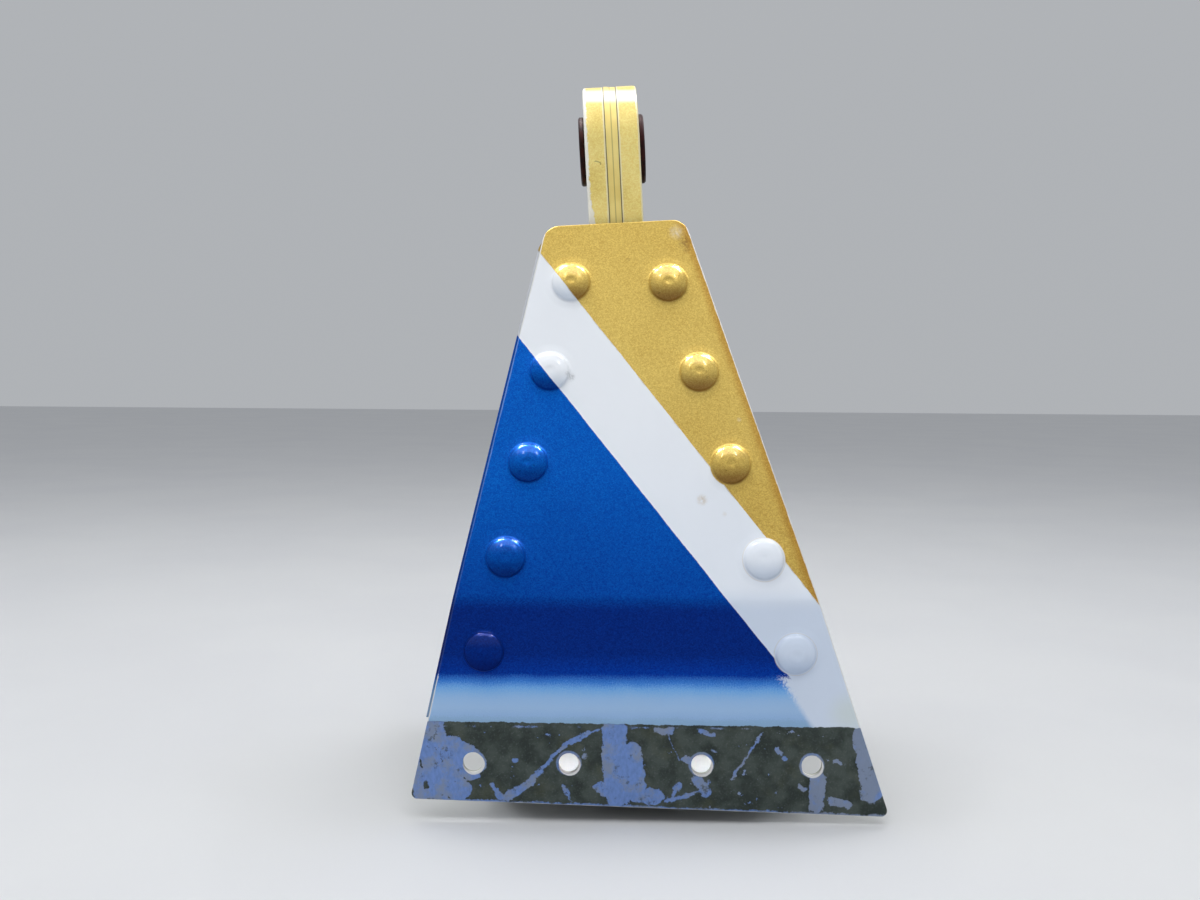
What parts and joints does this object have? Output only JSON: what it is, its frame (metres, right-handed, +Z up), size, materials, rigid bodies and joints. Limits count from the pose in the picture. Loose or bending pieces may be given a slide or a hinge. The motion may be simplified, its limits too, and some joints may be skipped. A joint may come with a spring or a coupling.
{
  "type": "stabilizer hinge bracket",
  "caption": "Riveted sheet metal hinge bracket with a thick lug arm and flanged bushings, painted in gold, white and blue.",
  "frame": {"origin": "middle of the hinge bore, halfway between the two bushings", "axes": "+X along the base to the right, +Y to the back, +Z up from the feet to the lug; the painted front sheet faces -Y"},
  "size_m": [0.076, 0.0586, 0.122],
  "materials": {
    "front_paint": "gold, white and blue gloss paint over primer, with a bare strip",
    "back_paint": "gold, white and blue gloss paint over primer, with a bare strip",
    "rib_paint": "dull green primer",
    "arm_paint": "gold metallic paint, worn at the edges",
    "bushing_bronze": "dark red brown, dull",
    "rivet_paint": "painted over with the sheet they hold",
    "bare_rivet": "primed and dull"
  },
  "bodies": {
    "root": {"front_gusset": "front_paint", "back_gusset": "back_paint", "left_rib": "rib_paint", "right_rib": "rib_paint", "left_arm_plate": "arm_paint", "right_arm_plate": "arm_paint", "left_bushing": "bushing_bronze", "right_bushing": "bushing_bronze", "front_left_rivets": "rivet_paint", "front_right_rivets": "rivet_paint", "back_left_rivets": "rivet_paint", "back_right_rivets": "rivet_paint", "left_arm_rivets": "bare_rivet", "right_arm_rivets": "bare_rivet"}
  },
  "joints": []
}
